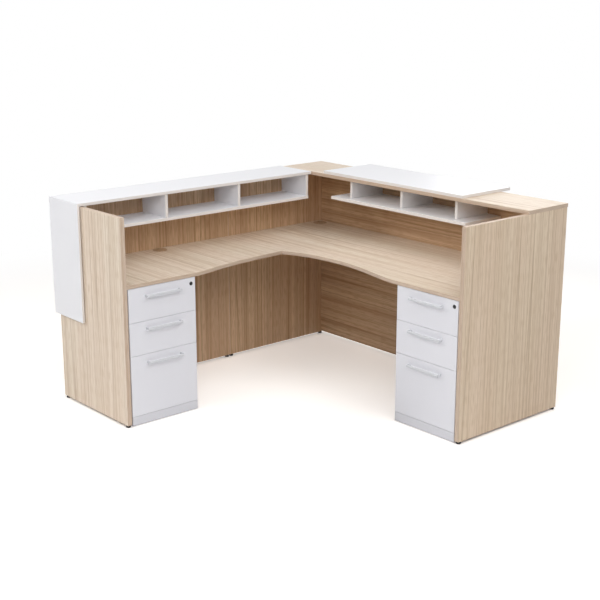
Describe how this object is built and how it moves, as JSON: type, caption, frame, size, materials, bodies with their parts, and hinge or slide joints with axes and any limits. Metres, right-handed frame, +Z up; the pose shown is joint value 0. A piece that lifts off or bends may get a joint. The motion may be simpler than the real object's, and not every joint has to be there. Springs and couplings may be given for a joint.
{
  "type": "reception desk",
  "caption": "L-shaped reception desk in pale oak laminate with raised white counters, letter hutches, curved worksurfaces and a lockable drawer pedestal under each wing.",
  "frame": {"origin": "middle of the desk's bounding box, on the floor", "axes": "+X along the return wing towards the main wing's visitor face, +Y along the main wing towards the return wing's visitor face, +Z up"},
  "size_m": [1.914, 1.85, 1.0963],
  "materials": {
    "oak_laminate": "pale oak laminate with straight grain",
    "white_laminate": "satin white laminate board with white edge band",
    "grey_melamine": "pale cool grey melamine board",
    "drawer_board": "pale drawer board",
    "satin_aluminium": "satin anodised",
    "zinc_plated_steel": "zinc plated",
    "black_metal": "black coated die casting",
    "black_plastic": "moulded black plastic",
    "tan_plastic": "moulded tan plastic"
  },
  "bodies": {
    "desk": {"right_gable": "oak_laminate", "far_gable": "oak_laminate", "main_panel": "oak_laminate", "main_cap": "oak_laminate", "return_gable": "oak_laminate", "return_panel": "oak_laminate", "return_worksurface": "oak_laminate", "main_worksurface": "oak_laminate", "return_cleat": "oak_laminate", "main_cleat": "oak_laminate", "main_counter": "white_laminate", "return_counter": "white_laminate", "waterfall_panel": "white_laminate", "return_shelf": "white_laminate", "return_shelf_end_left": "white_laminate", "return_divider_left": "white_laminate", "return_divider_right": "white_laminate", "return_shelf_end_right": "white_laminate", "main_shelf": "white_laminate", "main_divider_right": "white_laminate", "main_divider_middle": "white_laminate", "main_divider_left": "white_laminate", "seam_plate": "zinc_plated_steel", "return_grommet": "tan_plastic", "corner_grommet": "tan_plastic", "glide_return_gable_front": "black_plastic", "glide_return_gable_back": "black_plastic", "glide_return_panel": "black_plastic", "glide_far_gable_front": "black_plastic", "glide_far_gable_corner": "black_plastic", "glide_right_gable_front": "black_plastic", "glide_right_gable_back": "black_plastic", "return_pedestal_carcase": "grey_melamine", "return_pedestal_plinth": "grey_melamine", "return_slides_left": "zinc_plated_steel", "return_slides_right": "zinc_plated_steel", "main_pedestal_carcase": "grey_melamine", "main_pedestal_plinth": "grey_melamine", "main_slides_left": "zinc_plated_steel", "main_slides_right": "zinc_plated_steel"},
    "return_file_drawer": {"return_file_drawer_front": "grey_melamine", "return_file_drawer_box": "drawer_board", "return_file_drawer_pull": "satin_aluminium"},
    "return_middle_drawer": {"return_middle_drawer_front": "grey_melamine", "return_middle_drawer_box": "drawer_board", "return_middle_drawer_pull": "satin_aluminium"},
    "return_top_drawer": {"return_top_drawer_front": "grey_melamine", "return_top_drawer_box": "drawer_board", "return_top_drawer_pull": "satin_aluminium"},
    "return_lock": {"return_lock": "black_metal"},
    "main_file_drawer": {"main_file_drawer_front": "grey_melamine", "main_file_drawer_box": "drawer_board", "main_file_drawer_pull": "satin_aluminium"},
    "main_middle_drawer": {"main_middle_drawer_front": "grey_melamine", "main_middle_drawer_box": "drawer_board", "main_middle_drawer_pull": "satin_aluminium"},
    "main_top_drawer": {"main_top_drawer_front": "grey_melamine", "main_top_drawer_box": "drawer_board", "main_top_drawer_pull": "satin_aluminium"},
    "main_lock": {"main_lock": "black_metal"}
  },
  "joints": [
    {"name": "return_file_drawer_slide", "type": "slide", "parent": "desk", "child": "return_file_drawer", "axis": [0, -1, 0], "range_m": [0, 0.46]},
    {"name": "return_middle_drawer_slide", "type": "slide", "parent": "desk", "child": "return_middle_drawer", "axis": [0, -1, 0], "range_m": [0, 0.4]},
    {"name": "return_top_drawer_slide", "type": "slide", "parent": "desk", "child": "return_top_drawer", "axis": [0, -1, 0], "range_m": [0, 0.4]},
    {"name": "return_lock_turn", "type": "hinge", "parent": "return_top_drawer", "child": "return_lock", "pos_m": [-0.536, 0.292, 0.6735], "axis": [0, 1, 0], "range_deg": [0, 90]},
    {"name": "main_file_drawer_slide", "type": "slide", "parent": "desk", "child": "main_file_drawer", "axis": [-1, 0, 0], "range_m": [0, 0.46]},
    {"name": "main_middle_drawer_slide", "type": "slide", "parent": "desk", "child": "main_middle_drawer", "axis": [-1, 0, 0], "range_m": [0, 0.4]},
    {"name": "main_top_drawer_slide", "type": "slide", "parent": "desk", "child": "main_top_drawer", "axis": [-1, 0, 0], "range_m": [0, 0.4]},
    {"name": "main_lock_turn", "type": "hinge", "parent": "main_top_drawer", "child": "main_lock", "pos_m": [0.138, -0.867, 0.6735], "axis": [1, 0, 0], "range_deg": [0, 90]}
  ]
}
